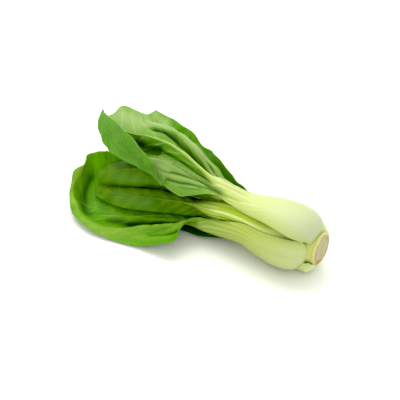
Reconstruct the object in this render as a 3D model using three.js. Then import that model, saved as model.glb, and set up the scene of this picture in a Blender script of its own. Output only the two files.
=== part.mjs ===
// Baby bok choy, cut and lying on its side: a cut stem end, four outer leaves, three inner
// leaves and two heart leaves. Each leaf is a pale fleshy stalk that runs on as the midrib,
// and a thin green blade. Millimetres, +Z up, the cut end towards +X, the leaves towards -X.
import * as THREE from 'three';

// Sizes that drive the head
const BLADE_THICK = 0.9;
const CLEARANCE = 0.4;
const STALK_OFFSET = BLADE_THICK / 2 + CLEARANCE;

// Stalk margin: its thickness, the most of the stalk's full thickness that it may take, and
// how much flatter the slim side of a stalk is
const STALK_EDGE = 1.2;
const STALK_EDGE_SHARE = 0.6;
const SLIM_CURL = 0.4;

// Fold of a blade margin: width of the bend, and the widest share of the half it takes
const FOLD_ARC = 7;
const FOLD_SHARE = 0.4;
const FOLD_LAST_START = 0.84;
const FOLD_LAST_END = 0.92;

// Cut stem end: how high its middle lies and into how many sides its rim is split
const STEM_HEIGHT = 22.5;
const STEM_SIDES = 24;

// How finely a section is summed up, and how much closer rows stand at one end of a piece
const SECTION_STEPS = 48;
const TINY = 1e-9;
const SEARCH_STEPS = 40;
const STALK_CROWDING = 0.5;
const BLADE_CROWDING = 0.3;

// Outside of the head as [distance from the cut face, radius, height of its middle line]
const HEAD = [
  [4.4, 13.6, 22.6], [6.5, 16.6, 22.8], [10, 19.7, 23.0], [16, 22.5, 23.2], [27, 23.9, 23.3],
  [40, 22.4, 23.5], [55, 19.6, 23.4], [72, 17, 24],
];

// Stalk bases: how wide and thick they are, and how strongly they bend round the head.
// An outer stalk that laps over its neighbour is wider than one that is tucked under it,
// and the slim side leaves an inner stalk in sight.
const OUTER_BASE = [
  { along: 4.4, over: 10.4, under: 5.8, slim: 7.6, curl: 50, thick: 1.6 },
  { along: 6.5, over: 12.6, under: 6.2, slim: 8.8, curl: 40, thick: 3.9 },
  { along: 10, over: 15.0, under: 7.6, slim: 10.2, curl: 30, thick: 5.9 },
  { along: 16, over: 17.2, under: 11.2, slim: 11.8, curl: 24, thick: 7.0 },
  { along: 27, over: 17.9, under: 12.9, slim: 11.6, curl: 17, thick: 7.0 },
  { along: 40, over: 16.5, under: 12.1, slim: 9.6, curl: 16, thick: 6.7 },
  { along: 55, over: 13.2, under: 10.0, slim: 8.0, curl: 18, thick: 6.0 },
];
const INNER_BASE = [
  { along: 13, radius: 8.3, wide: 5.0, curl: 46, thick: 2.8 },
  { along: 19, radius: 11.6, wide: 6.6, curl: 46, thick: 3.6 },
  { along: 27, radius: 13.6, wide: 8.0, curl: 46, thick: 4.0 },
  { along: 40, radius: 13.0, wide: 7.8, curl: 46, thick: 3.8 },
  { along: 55, radius: 11.2, wide: 7.0, curl: 44, thick: 3.4 },
];
const HEART_BASE = [
  { along: 22, radius: 4.2, wide: 3.0, curl: 40, thick: 2.0 },
  { along: 30, radius: 4.6, wide: 4.0, curl: 40, thick: 2.4 },
  { along: 42, radius: 4.6, wide: 4.4, curl: 40, thick: 2.4 },
  { along: 55, radius: 4.2, wide: 4.2, curl: 40, thick: 2.2 },
];

const degrees = (angle) => THREE.MathUtils.degToRad(angle);

// Smooth curve through hand-chosen values, level beyond its first and last knot
function spline(knots, values, at) {
  const last = knots.length - 1;
  if (at <= knots[0]) return values[0];
  if (at >= knots[last]) return values[last];
  let i = 0;
  while (knots[i + 1] < at) i += 1;
  const slope = (k) => {
    const before = Math.max(k - 1, 0);
    const after = Math.min(k + 1, last);
    return (values[after] - values[before]) / (knots[after] - knots[before]);
  };
  const gap = knots[i + 1] - knots[i];
  const s = (at - knots[i]) / gap;
  const rise = s * s * (3 - 2 * s);
  const leave = s * (1 - s) * (1 - s);
  const arrive = -s * s * (1 - s);
  return values[i] + (values[i + 1] - values[i]) * rise
    + gap * (leave * slope(i) + arrive * slope(i + 1));
}

// Unit vector square to the length of the head: 0 is up, 90 is towards -Y, 180 is down
function outward(facing) {
  return new THREE.Vector3(0, -Math.sin(degrees(facing)), Math.cos(degrees(facing)));
}

function headAt(along, column) {
  return spline(HEAD.map((row) => row[0]), HEAD.map((row) => row[column]), along);
}

// One station of a leaf. The place is on the inner face, facing is where the outer face
// looks, and left and right (seen from outside with the tip up) are each
// [half-width, lift, curl, sweep]: lift and curl in degrees towards the inner face,
// sweep as a share of the width towards the tip.
function station(x, y, z, facing, left, right, rib, thick) {
  return [x, y, z, facing, ...left, ...right, rib, thick];
}

function baseStation(along, radius, facing, left, right, thick) {
  const place = outward(facing).multiplyScalar(radius);
  const height = headAt(along, 2);
  const rib = Math.max(left[0], right[0]);
  return station(-along, place.y, height + place.z, facing, left, right, rib, thick);
}

function outerBase(facing, left, right, until = 55) {
  return OUTER_BASE.filter((row) => row.along <= until).map((row) => {
    const [toLeft, toRight] = [left, right].map(
      (side) => [row[side], 0, side === 'slim' ? row.curl * SLIM_CURL : row.curl, 0],
    );
    const radius = headAt(row.along, 1) - STALK_OFFSET - row.thick;
    return baseStation(row.along, radius, facing, toLeft, toRight, row.thick);
  });
}

function innerBase(facing, table, shrink = 0, leftShare = 1, rightShare = 1) {
  return table.map((row) => baseStation(row.along, row.radius - shrink, facing,
    [row.wide * leftShare, 0, row.curl, 0], [row.wide * rightShare, 0, row.curl, 0], row.thick));
}

// Leaves. Folds are [x, share of the left half where the fold starts, angle of the fold].
const LEAVES = [
  {
    name: 'top',
    stations: [
      ...outerBase(-2, 'over', 'over'),
      station(-70, 0.5, 37.4, -3, [8.6, 0, 22, 0], [10, 0, 24, 0], 9.2, 5.2),
      station(-84, 1, 40.6, 0, [7.6, 0, 22, 0], [8.4, 0, 20, 0], 7.6, 4.6),
      station(-97, 1.5, 46, 2, [18, 16, 44, 0], [13, -2, 30, 0], 5.6, 3.9),
      station(-105, 1.8, 49.4, 2, [26, 22, 50, 0], [19, -8, 46, 0], 4.8, 3.4),
      station(-114, 2, 52.8, 2, [30, 28, 48, 0], [25, -10, 58, 0], 4.1, 2.9),
      station(-129, 2.2, 56.8, 2, [44, 32, 42, 0], [32, -12, 64, 0], 3.2, 2.3),
      station(-145, 1, 59.2, 2, [50, 34, 38, 0], [35, -14, 66, 0.1], 2.5, 1.8),
      station(-161, 0, 59.2, 2, [51, 36, 30, 0], [35, -14, 58, 0.2], 2.0, 1.4),
      station(-176, 3, 57.6, 2, [43, 36, 22, 0.05], [33, -12, 42, 0.3], 1.7, 1.2),
      station(-187, 7, 56.2, 0, [31, 34, 14, 0.2], [28, -10, 28, 0.4], 1.4, 1.0),
      station(-194, 10, 55.6, 0, [19, 30, 8, 0.3], [21, -8, 16, 0.5], 1.2, 0.9),
    ],
    folds: [[-104, 0.96, 0], [-111, 0.87, 80], [-119, 0.69, 150], [-129, 0.53, 165],
      [-145, 0.46, 168], [-161, 0.41, 172], [-176, 0.36, 172], [-187, 0.3, 172], [-194, 0.26, 165]],
    bladeStart: -84, ribEnd: -183,
    rows: { stalk: 30, blade: 27 }, columns: { stalk: 8, blade: [5, 4, 3, 7] },
    color: { stalk: 0xe4f0a8, blade: 0x6f9f48 },
  },
  {
    name: 'front',
    stations: [
      ...outerBase(93, 'over', 'slim'),
      station(-72, -11.5, 17, 100, [8.4, 0, 24, 0], [6.6, 0, 20, 0], 9.2, 5.2),
      station(-87, -12, 14.6, 116, [8.4, 0, 24, 0], [6.8, 0, 20, 0], 7.6, 4.6),
      station(-101, -13, 11.6, 144, [10, 8, 20, 0], [10, 0, 6, 0], 5.6, 3.8),
      station(-115, -16, 8.6, 168, [22, 10, 26, 0], [28, -7, 2, -0.35], 4.2, 3.0),
      station(-131, -20, 5.2, 178, [35, 12, 36, 0], [30, -6, 2, -0.15], 3.2, 2.3),
      station(-148, -25.5, 3.6, 180, [42, 12, 48, 0], [27, -5, 2, 0], 2.6, 1.8),
      station(-164, -30, 3.2, 180, [46, 12, 54, 0.1], [21, -3, 4, 0], 2.1, 1.5),
      station(-178, -32, 4, 180, [46, 14, 50, 0.22], [12.5, 0, 10, 0], 1.8, 1.2),
      station(-188, -31.6, 5.2, 180, [38, 13, 46, 0.3], [8, 0, 10, -0.2], 1.5, 1.0),
      station(-195, -31, 6.6, 180, [31, 12, 42, 0.32], [6, 2, 14, -0.2], 1.3, 0.9),
      station(-198.6, -30.4, 8, 180, [24, 10, 34, 0.38], [4.5, 4, 14, -0.1], 1.2, 0.9),
      station(-200.2, -30, 8.8, 180, [15, 8, 20, 0.3], [3, 4, 10, 0], 1.2, 0.9),
    ],
    bladeStart: -89, ribEnd: -184,
    rows: { stalk: 31, blade: 26 }, columns: { stalk: 8, blade: [9, 0, 0, 6] },
    color: { stalk: 0xcfdc7c, blade: 0x4f8c0c },
  },
  {
    name: 'rear',
    stations: [
      ...outerBase(271, 'under', 'over'),
      station(-70, 11.4, 24, 264, [12.5, 0, 14, 0], [9.2, 0, 12, 0], 9.2, 5.2),
      station(-85, 13.5, 23, 255, [19.5, 0, 8, 0], [10, 0, 18, 0], 7.6, 4.4),
      station(-100, 17, 21.5, 248, [23.5, 0, 4, 0], [15, 0, 14, 0], 5.4, 3.6),
      station(-115, 21, 20.5, 242, [25, 0, 4, 0], [18, 0, 10, 0], 4.0, 2.8),
      station(-130, 26, 21, 238, [26, 0, 4, 0], [20, 0, 8, 0], 3.1, 2.1),
      station(-146, 33, 22, 237, [27, 0, 4, 0], [20, 0, 8, 0], 2.4, 1.7),
      station(-161, 41, 26, 237, [23, 0, 4, 0], [17, 0, 8, 0], 2.0, 1.4),
      station(-173, 49, 32, 238, [15, 2, 0, 0], [12, 0, 8, 0], 1.6, 1.1),
      station(-182, 55.5, 39, 238, [4, 2, 0, 0], [4, 0, 8, 0], 1.2, 0.9),
    ],
    bladeStart: -69, ribEnd: -174,
    rows: { stalk: 30, blade: 22 }, columns: { stalk: 8, blade: [6, 0, 0, 5] },
    color: { stalk: 0xdfe9a6, blade: 0x477f04 },
  },
  {
    name: 'under',
    stations: [
      ...outerBase(183, 'under', 'under', 40),
      station(-55, -0.5, 10, 181, [9.6, 0, 18, 0], [9.2, 0, 18, 0], 9.2, 5.6),
      station(-68, 1.5, 7.4, 180, [12, 0, 8, 0], [10.5, 0, 4, 0], 7.6, 4.8),
      station(-82, 4.5, 5.2, 180, [18, -2, 4, 0], [19, -3, 2, 0], 6.0, 3.8),
      station(-98, 8, 4.1, 180, [24, -3, 4, 0], [26, -4, 2, 0], 4.4, 3.0),
      station(-114, 11, 3.4, 180, [27, -3, 4, 0], [27, -4, 2, 0], 3.4, 2.3),
      station(-130, 13.5, 2.9, 180, [25, -3, 4, 0], [23, -3, 2, 0], 2.6, 1.8),
      station(-145, 15.5, 2.5, 180, [18, -2, 4, 0], [16, -2, 2, 0], 2.0, 1.4),
      station(-157, 17, 2.2, 180, [5, -1, 2, 0], [5, -1, 2, 0], 1.4, 1.0),
    ],
    bladeStart: -60, ribEnd: -148,
    rows: { stalk: 26, blade: 15 }, columns: { stalk: 8, blade: [5, 0, 0, 5] },
    color: { stalk: 0xd6d9a2, blade: 0x436700 },
  },
  {
    name: 'inner_front',
    stations: [
      station(-14, -7.5, 27.5, 60, [5, 0, 46, 0], [4.4, 0, 40, 0], 5, 2.8),
      station(-20, -10.2, 29.2, 68, [6, 0, 40, 0], [5.4, 0, 36, 0], 6, 3.6),
      station(-28, -11.0, 30.0, 74, [6.5, 0, 34, 0], [6.0, 0, 30, 0], 6.5, 4.0),
      station(-40, -10.2, 29.8, 74, [6.6, 0, 34, 0], [5.6, 0, 30, 0], 6.6, 3.8),
      station(-55, -8.4, 29.8, 70, [6.4, 0, 40, 0], [5.2, 0, 32, 0], 6.8, 3.6),
      station(-72, -7.4, 28.2, 64, [6.2, 0, 44, 0], [5.4, 0, 36, 0], 6.8, 3.2),
      station(-89, -7.2, 24.8, 58, [6.6, 0, 26, 0], [4.8, 0, 26, 0], 5.0, 2.8),
      station(-105, -7.6, 22.6, 57, [9, 0, 16, 0], [7, 4, 26, 0], 3.6, 2.3),
      station(-122, -10.5, 20.6, 56, [11.5, -2, 10, 0], [9.5, 6, 30, 0], 2.8, 1.8),
      station(-139, -14, 18.4, 52, [13, -4, 6, 0], [10.5, 6, 30, 0], 2.2, 1.4),
      station(-155, -17, 15.8, 50, [13, -6, 4, 0], [10.5, 6, 28, 0], 1.8, 1.1),
      station(-170, -19.5, 13.2, 50, [8, -6, 2, 0], [7.5, 4, 20, 0], 1.4, 0.9),
      station(-180, -21, 11.6, 50, [2.5, -4, 0, 0], [2.5, 2, 10, 0], 1.1, 0.8),
    ],
    bladeStart: -90, ribEnd: -172,
    rows: { stalk: 19, blade: 12 }, columns: { stalk: 6, blade: [4, 0, 0, 4] },
    color: { stalk: 0xd5e87c, blade: 0x557f16 },
  },
  {
    name: 'inner_top',
    stations: [
      ...innerBase(-30, INNER_BASE, 1.6, 0.7, 0.8),
      station(-72, 4, 31, -14, [4.6, 0, 36, 0], [5, 0, 36, 0], 6, 2.8),
      station(-89, 2, 33.4, 0, [6, 0, 36, 0], [6.4, 0, 36, 0], 5.0, 2.6),
      station(-106, 1, 36.2, 10, [9.5, 8, 34, 0], [10, 4, 36, 0], 3.6, 2.1),
      station(-123, -1.5, 38.4, 22, [13, 14, 34, 0], [14, 4, 40, 0], 2.8, 1.7),
      station(-140, -4.5, 37.4, 28, [14.5, 16, 30, 0], [15, 4, 40, 0], 2.2, 1.3),
      station(-156, -8, 33.6, 30, [13, 14, 26, 0], [15, 4, 36, 0], 1.8, 1.1),
      station(-171, -11.5, 28.4, 30, [9.5, 12, 20, 0], [11, 2, 30, 0], 1.4, 0.9),
      station(-181, -14, 23.4, 30, [3, 8, 10, 0], [3, 2, 20, 0], 1.1, 0.8),
    ],
    bladeStart: -91, ribEnd: -172,
    rows: { stalk: 19, blade: 12 }, columns: { stalk: 6, blade: [4, 0, 0, 4] },
    color: { stalk: 0xd8e890, blade: 0x5b8215 },
  },
  {
    name: 'inner_rear',
    stations: [
      ...innerBase(228, INNER_BASE, 0.4, 0.8, 0.85),
      station(-72, 3.6, 16, 226, [5, 0, 36, 0], [5.4, 0, 36, 0], 6.4, 2.8),
      station(-89, 6, 16.2, 230, [5.6, 0, 34, 0], [5.6, 0, 30, 0], 5.0, 2.4),
      station(-105, 10.5, 16.5, 236, [10, 2, 30, 0], [7, 0, 24, 0], 3.6, 2.1),
      station(-120, 14, 18, 240, [13, 4, 26, 0], [8.5, 0, 20, 0], 2.8, 1.6),
      station(-135, 18, 20, 240, [13.5, 4, 24, 0], [9, 0, 20, 0], 2.2, 1.3),
      station(-150, 23, 23, 240, [11, 4, 20, 0], [8, 0, 18, 0], 1.7, 1.1),
      station(-163, 28.5, 27, 240, [3, 2, 10, 0], [3, 0, 10, 0], 1.2, 0.8),
    ],
    bladeStart: -91, ribEnd: -154,
    rows: { stalk: 17, blade: 10 }, columns: { stalk: 6, blade: [4, 0, 0, 3] },
    color: { stalk: 0xd8e890, blade: 0x55861a },
  },
  {
    name: 'heart_upper',
    stations: [
      ...innerBase(10, HEART_BASE),
      station(-72, 0, 25.6, 10, [4, 0, 36, 0], [4, 0, 36, 0], 4, 2.0),
      station(-88, 1, 26.6, 10, [5, 0, 36, 0], [5, 0, 36, 0], 3.2, 1.7),
      station(-104, 2.5, 27.6, 5, [7, 4, 40, 0], [7, 4, 40, 0], 2.4, 1.4),
      station(-120, 4.5, 28.6, 0, [8, 6, 40, 0], [8, 6, 40, 0], 1.8, 1.1),
      station(-136, 7, 30, 0, [3, 4, 20, 0], [3, 4, 20, 0], 1.2, 0.8),
    ],
    bladeStart: -80, ribEnd: -128,
    rows: { stalk: 14, blade: 10 }, columns: { stalk: 6, blade: [3, 0, 0, 3] },
    color: { stalk: 0xe2ee9c, blade: 0x86ad3a },
  },
  {
    name: 'heart_lower',
    stations: [
      ...innerBase(190, HEART_BASE),
      station(-72, -0.5, 19.6, 190, [4, 0, 36, 0], [4, 0, 36, 0], 4, 2.0),
      station(-86, 0, 19.4, 195, [4.6, 0, 36, 0], [4.6, 0, 36, 0], 3.2, 1.6),
      station(-99, 1.5, 20, 200, [6, 4, 40, 0], [6, 4, 40, 0], 2.2, 1.3),
      station(-112, 3.5, 21.4, 205, [6, 6, 40, 0], [6, 6, 40, 0], 1.7, 1.0),
      station(-124, 5.5, 23.2, 205, [2.5, 4, 20, 0], [2.5, 4, 20, 0], 1.1, 0.8),
    ],
    bladeStart: -80, ribEnd: -117,
    rows: { stalk: 14, blade: 9 }, columns: { stalk: 6, blade: [3, 0, 0, 3] },
    color: { stalk: 0xe2ee9c, blade: 0x93b84a },
  },
];

const LEFT = 1;
const RIGHT = -1;
const COLUMN = { x: 0, facing: 3, left: 4, right: 8, rib: 12, thick: 13 };

// The surface of one leaf, worked out from its stations
class Leaf {
  constructor(shape) {
    Object.assign(this, shape);
    this.knots = [0];
    for (let i = 1; i < shape.stations.length; i += 1) {
      const [ax, ay, az] = shape.stations[i - 1];
      const [bx, by, bz] = shape.stations[i];
      this.knots.push(this.knots[i - 1] + Math.hypot(bx - ax, by - ay, bz - az));
    }
    this.length = this.knots.at(-1);
    this.values = shape.stations[0].map((_, k) => shape.stations.map((row) => row[k]));
  }

  value(column, at) {
    return spline(this.knots, this.values[column], at);
  }

  place(at) {
    return new THREE.Vector3(this.value(0, at), this.value(1, at), this.value(2, at));
  }

  // Distance along the leaf at which its middle line reaches x
  reach(x) {
    let low = 0;
    let high = this.length;
    for (let i = 0; i < SEARCH_STEPS; i += 1) {
      const middle = (low + high) / 2;
      if (this.value(COLUMN.x, middle) > x) low = middle;
      else high = middle;
    }
    return low;
  }

  frame(at) {
    const near = 0.5;
    const tangent = this.place(Math.min(at + near, this.length))
      .sub(this.place(Math.max(at - near, 0))).normalize();
    const normal = outward(this.value(COLUMN.facing, at));
    normal.addScaledVector(tangent, -normal.dot(tangent)).normalize();
    return { tangent, normal, left: new THREE.Vector3().crossVectors(normal, tangent) };
  }

  foldAt(x) {
    if (!this.folds) return { start: 1, angle: 0 };
    const knots = this.folds.map((fold) => -fold[0]);
    return {
      start: spline(knots, this.folds.map((fold) => fold[1]), -x),
      angle: spline(knots, this.folds.map((fold) => fold[2]), -x),
    };
  }

  // Points and outward normals of one half section at the given shares of its width
  halfSection(at, side, shares) {
    const { tangent, normal, left } = this.frame(at);
    const first = side === LEFT ? COLUMN.left : COLUMN.right;
    const [width, lift, curl, sweep] = [0, 1, 2, 3].map((k) => this.value(first + k, at));
    const point = this.place(at);
    const fold = side === LEFT ? this.foldAt(point.x) : { start: 1, angle: 0 };
    const foldShare = Math.min(FOLD_ARC / width, FOLD_SHARE);
    const bend = (share) => {
      const s = THREE.MathUtils.smoothstep(share, fold.start, fold.start + foldShare);
      return degrees(lift + curl * share - fold.angle * s);
    };
    const across = left.clone().multiplyScalar(side);
    let reached = 0;
    return shares.map((share) => {
      while (reached < share - TINY) {
        const step = Math.min(1 / SECTION_STEPS, share - reached);
        const angle = bend(reached + step / 2);
        point.addScaledVector(across, width * step * Math.cos(angle));
        point.addScaledVector(normal, -width * step * Math.sin(angle));
        point.addScaledVector(tangent, width * step * sweep);
        reached += step;
      }
      const angle = bend(share);
      const out = across.clone().multiplyScalar(Math.sin(angle));
      out.addScaledVector(normal, Math.cos(angle));
      return { point: point.clone(), out };
    });
  }

  // A whole section from the right margin to the left one
  section(at, rightShares, leftShares) {
    const right = this.halfSection(at, RIGHT, [0, ...rightShares]);
    const left = this.halfSection(at, LEFT, [0, ...leftShares]);
    return [...right.slice(1).reverse(), left[0], ...left.slice(1)];
  }

  bladeShares(at) {
    const [inside, bend, outside, right] = this.columns.blade;
    const even = (count, from, to) => Array.from(
      { length: count }, (_, i) => from + (to - from) * (i + 1) / count,
    );
    if (!bend) return { right: even(right, 0, 1), left: even(inside, 0, 1) };
    const fold = this.foldAt(this.value(COLUMN.x, at));
    const start = Math.min(fold.start, FOLD_LAST_START);
    const bendShare = Math.min(FOLD_ARC / this.value(COLUMN.left, at), FOLD_SHARE);
    const end = Math.min(start + bendShare, FOLD_LAST_END);
    return {
      right: even(right, 0, 1),
      left: [...even(inside, 0, start), ...even(bend, start, end), ...even(outside, end, 1)],
    };
  }

  // Rows of the blade stand closer towards the tip
  blade() {
    const from = this.reach(this.bladeStart);
    const rows = [];
    for (let i = 0; i <= this.rows.blade; i += 1) {
      const s = i / this.rows.blade;
      const at = from + (this.length - from) * s * (1 + BLADE_CROWDING * (1 - s));
      const shares = this.bladeShares(at);
      rows.push(this.section(at, shares.right, shares.left));
    }
    const half = BLADE_THICK / 2;
    return closedSheet(rows, () => -half, () => half);
  }

  // Rows of the stalk stand closer towards the cut end
  stalk() {
    const to = this.reach(this.ribEnd);
    const cells = this.columns.stalk;
    const rows = [];
    const thickness = [];
    for (let i = 0; i <= this.rows.stalk; i += 1) {
      const s = i / this.rows.stalk;
      const at = to * s * (1 - STALK_CROWDING * (1 - s));
      const rib = this.value(COLUMN.rib, at);
      const thick = this.value(COLUMN.thick, at);
      const widths = [COLUMN.right, COLUMN.left].map((column) => this.value(column, at));
      const [right, left] = widths.map((width) => Array.from(
        { length: cells / 2 },
        (_, k) => Math.min(rib, width) / width * (k + 1) / (cells / 2),
      ));
      rows.push(this.section(at, right, left));
      const edge = Math.min(STALK_EDGE, thick * STALK_EDGE_SHARE);
      thickness.push(Array.from({ length: cells + 1 }, (_, k) => {
        const share = Math.abs(k - cells / 2) / (cells / 2);
        return edge + (thick - edge) * (1 - share * share);
      }));
    }
    return closedSheet(rows, () => STALK_OFFSET, (i, j) => STALK_OFFSET + thickness[i][j]);
  }
}

// Closed body between two offsets of a grid of surface points, split alike on both faces
function closedSheet(rows, inner, outer) {
  const count = rows[0].length;
  const positions = [];
  const put = (row, i, j, offset) => {
    const point = row[j].point.clone().addScaledVector(row[j].out, offset(i, j));
    positions.push(point.x, point.y, Math.max(point.z, 0));
  };
  rows.forEach((row, i) => row.forEach((_, j) => put(row, i, j, outer)));
  rows.forEach((row, i) => row.forEach((_, j) => put(row, i, j, inner)));
  const half = rows.length * count;
  const index = [];
  const quad = (a, b, c, d) => index.push(a, c, b, a, d, c);
  for (let i = 0; i + 1 < rows.length; i += 1) {
    for (let j = 0; j + 1 < count; j += 1) {
      const a = i * count + j;
      quad(a, a + 1, a + count + 1, a + count);
      index.push(half + a, half + a + 1, half + a + count + 1);
      index.push(half + a, half + a + count + 1, half + a + count);
    }
    const first = i * count;
    const last = first + count - 1;
    quad(first, first + count, half + first + count, half + first);
    quad(last, half + last, half + last + count, last + count);
  }
  const end = (rows.length - 1) * count;
  for (let j = 0; j + 1 < count; j += 1) {
    quad(j, half + j, half + j + 1, j + 1);
    quad(end + j, end + j + 1, half + end + j + 1, half + end + j);
  }
  const geometry = new THREE.BufferGeometry();
  geometry.setAttribute('position', new THREE.Float32BufferAttribute(positions, 3));
  geometry.setIndex(index);
  return geometry;
}

// Cut stem end: a short cone inside the stalk bases, with a collar round the cut face
function stemEnd() {
  const profile = [
    [0, 0], [10.3, 0], [11.1, 0.7], [11.5, 2.2], [11.2, 4], [10.6, 6], [9.4, 9],
    [7.2, 13], [5, 17], [2.6, 21], [0, 22],
  ];
  const points = profile.map(([radius, along]) => new THREE.Vector2(radius, along));
  return new THREE.LatheGeometry(points, STEM_SIDES);
}

const head = new THREE.Group();

function addPiece(name, geometry, color, roughness) {
  const material = new THREE.MeshStandardMaterial({ color, roughness, metalness: 0 });
  const mesh = new THREE.Mesh(geometry, material);
  mesh.name = name;
  head.add(mesh);
  return mesh;
}

const butt = addPiece('butt', stemEnd(), 0xcbc08a, 0.75);
butt.rotation.z = Math.PI / 2;
butt.position.set(0, 0, STEM_HEIGHT);

for (const shape of LEAVES) {
  const leaf = new Leaf(shape);
  addPiece(`stalk_${shape.name}`, leaf.stalk(), shape.color.stalk, 0.35);
  addPiece(`blade_${shape.name}`, leaf.blade(), shape.color.blade, 0.45);
}

// The middle of the head's footprint goes to the origin, with its lowest point at height 0
const box = new THREE.Box3().setFromObject(head);
const middle = box.getCenter(new THREE.Vector3());
head.position.set(-middle.x, -middle.y, -box.min.z);

export default head;
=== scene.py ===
"""Looks of a baby bok choy that lies on its side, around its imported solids.

Each leaf is one fine closed skin: nearly the sections of its stalk and blade solids, with the
midrib run smoothly into the blade, side veins, pleats and a waved margin. The cut stem end
is a fine turned body. Lengths in the shape tables are millimetres in the head's own frame:
x = 0 is the cut face, -X is towards the leaf tips, +Z is up and z = 0 is the surface.
"""

import logging
import math
from dataclasses import dataclass
from enum import Enum
from functools import partial

import bpy
import numpy as np
from mathutils import Matrix, Vector


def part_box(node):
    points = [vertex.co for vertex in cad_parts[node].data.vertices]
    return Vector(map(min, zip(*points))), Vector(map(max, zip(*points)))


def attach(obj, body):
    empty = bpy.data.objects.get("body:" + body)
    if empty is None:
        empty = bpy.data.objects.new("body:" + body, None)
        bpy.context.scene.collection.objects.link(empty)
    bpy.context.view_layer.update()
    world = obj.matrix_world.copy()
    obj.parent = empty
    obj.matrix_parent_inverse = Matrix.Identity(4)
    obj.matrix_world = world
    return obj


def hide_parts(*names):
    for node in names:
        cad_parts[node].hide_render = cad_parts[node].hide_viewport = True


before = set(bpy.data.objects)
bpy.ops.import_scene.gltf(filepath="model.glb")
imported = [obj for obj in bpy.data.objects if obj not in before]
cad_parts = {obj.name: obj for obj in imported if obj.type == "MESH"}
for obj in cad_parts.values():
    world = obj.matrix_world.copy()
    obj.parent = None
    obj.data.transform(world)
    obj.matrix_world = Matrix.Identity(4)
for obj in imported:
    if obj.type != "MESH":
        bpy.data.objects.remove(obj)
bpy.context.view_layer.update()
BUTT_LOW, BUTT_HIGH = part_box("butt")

LOG = logging.getLogger("bok_choy")
MM = 0.001
# Place of the head's own frame in the row frame, in millimetres
ORIGIN = np.array([BUTT_HIGH.x, (BUTT_LOW.y + BUTT_HIGH.y) / 2, 0.0]) / MM


class Side(Enum):
    """The two halves of a leaf, seen from outside with the tip up."""

    LEFT = 1
    RIGHT = -1


class Face(Enum):
    """The two faces of a leaf: the outer one is turned away from the heart."""

    OUTER = 1.0
    INNER = 0.0


# Small helpers


def srgb_to_linear(code: str) -> tuple[float, float, float, float]:
    """Turns an sRGB hex colour into the linear colour that shaders take.

    Args:
        code: Six hex digits.

    Returns:
        Linear red, green, blue and an alpha of 1.
    """
    channels = [int(code[i : i + 2], 16) / 255 for i in (0, 2, 4)]
    linear = [c / 12.92 if c <= 0.04045 else ((c + 0.055) / 1.055) ** 2.4 for c in channels]
    return (*linear, 1.0)


def numbers(text: str, columns: int) -> np.ndarray:
    """Reads a table of numbers; its commas and line ends are there for the eye alone."""
    return np.array(text.replace(",", " ").split(), float).reshape(-1, columns)


def smoothstep(value: np.ndarray, low: float, high: float) -> np.ndarray:
    """Rises smoothly from 0 at low to 1 at high."""
    t = np.clip((value - low) / (high - low), 0.0, 1.0)
    return t * t * (3.0 - 2.0 * t)


def walked(line: np.ndarray) -> np.ndarray:
    """Distances walked along a line of points, from 0 at its first one."""
    return np.concatenate([[0.0], np.cumsum(np.linalg.norm(np.diff(line, axis=0), axis=1))])


def spline(knots: np.ndarray, values: np.ndarray, at: np.ndarray) -> np.ndarray:
    """Runs a smooth curve through given values, level beyond its first and last knot.

    Args:
        knots: Rising places of the values, shape (n,).
        values: The values, shape (n,) or (n, k).
        at: Where the curve is wanted, shape (m,).

    Returns:
        The curve's values, shape (m,) or (m, k).
    """
    before = np.maximum(np.arange(len(knots)) - 1, 0)
    after = np.minimum(np.arange(len(knots)) + 1, len(knots) - 1)
    run = knots[after] - knots[before]
    slopes = (values[after] - values[before]) / (run if values.ndim == 1 else run[:, None])
    at = np.clip(at, knots[0], knots[-1])
    i = np.clip(np.searchsorted(knots, at, side="right") - 1, 0, len(knots) - 2)
    gap = knots[i + 1] - knots[i]
    s = (at - knots[i]) / gap
    if values.ndim == 2:
        gap, s = gap[:, None], s[:, None]
    ends = values[i] + (values[i + 1] - values[i]) * s * s * (3 - 2 * s)
    return ends + gap * s * (1 - s) * ((1 - s) * slopes[i] - s * slopes[i + 1])


def soft_noise(x: np.ndarray, y: np.ndarray, seed: int) -> np.ndarray:
    """Smooth noise from -1 to 1 on a plane, with one bump a unit.

    Args:
        x: First coordinate.
        y: Second coordinate, of the same shape.
        seed: Picks the pattern.

    Returns:
        The noise, of the same shape.
    """
    size = 64
    lattice = np.random.default_rng(seed).uniform(-1.0, 1.0, (size, size))
    xi, yi = np.floor(x).astype(int), np.floor(y).astype(int)
    fx, fy = smoothstep(x - xi, 0.0, 1.0), smoothstep(y - yi, 0.0, 1.0)
    left, right, near, far = xi % size, (xi + 1) % size, yi % size, (yi + 1) % size
    low = lattice[left, near] * (1 - fx) + lattice[right, near] * fx
    high = lattice[left, far] * (1 - fx) + lattice[right, far] * fx
    return low * (1 - fy) + high * fy


def unit(vectors: np.ndarray) -> np.ndarray:
    """Scales rows of vectors to length 1."""
    return vectors / np.linalg.norm(vectors, axis=-1, keepdims=True)


def add_node(tree: bpy.types.NodeTree, kind: str, *inputs: object, output: int | str = 0,
             **settings: object) -> bpy.types.NodeSocket | None:
    """Adds a shader node with its settings and links.

    Args:
        tree: The material's node tree.
        kind: The node's type, without the word ShaderNode in front.
        inputs: What its first inputs get: a value, a hex colour, an output socket or None.
        output: Name or number of the output that is wanted.
        settings: The same by the input's name, or a value by the property's name.

    Returns:
        The new node's output socket.
    """
    node = tree.nodes.new("ShaderNode" + kind)
    for key, value in (*enumerate(inputs), *settings.items()):
        if isinstance(value, bpy.types.NodeSocket):
            tree.links.new(value, node.inputs[key])
        elif isinstance(key, str) and hasattr(node, key):
            setattr(node, key, value)
        elif value is not None:
            node.inputs[key].default_value = (
                srgb_to_linear(value) if isinstance(value, str) else value)
    return node.outputs[output] if node.outputs else None


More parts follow.
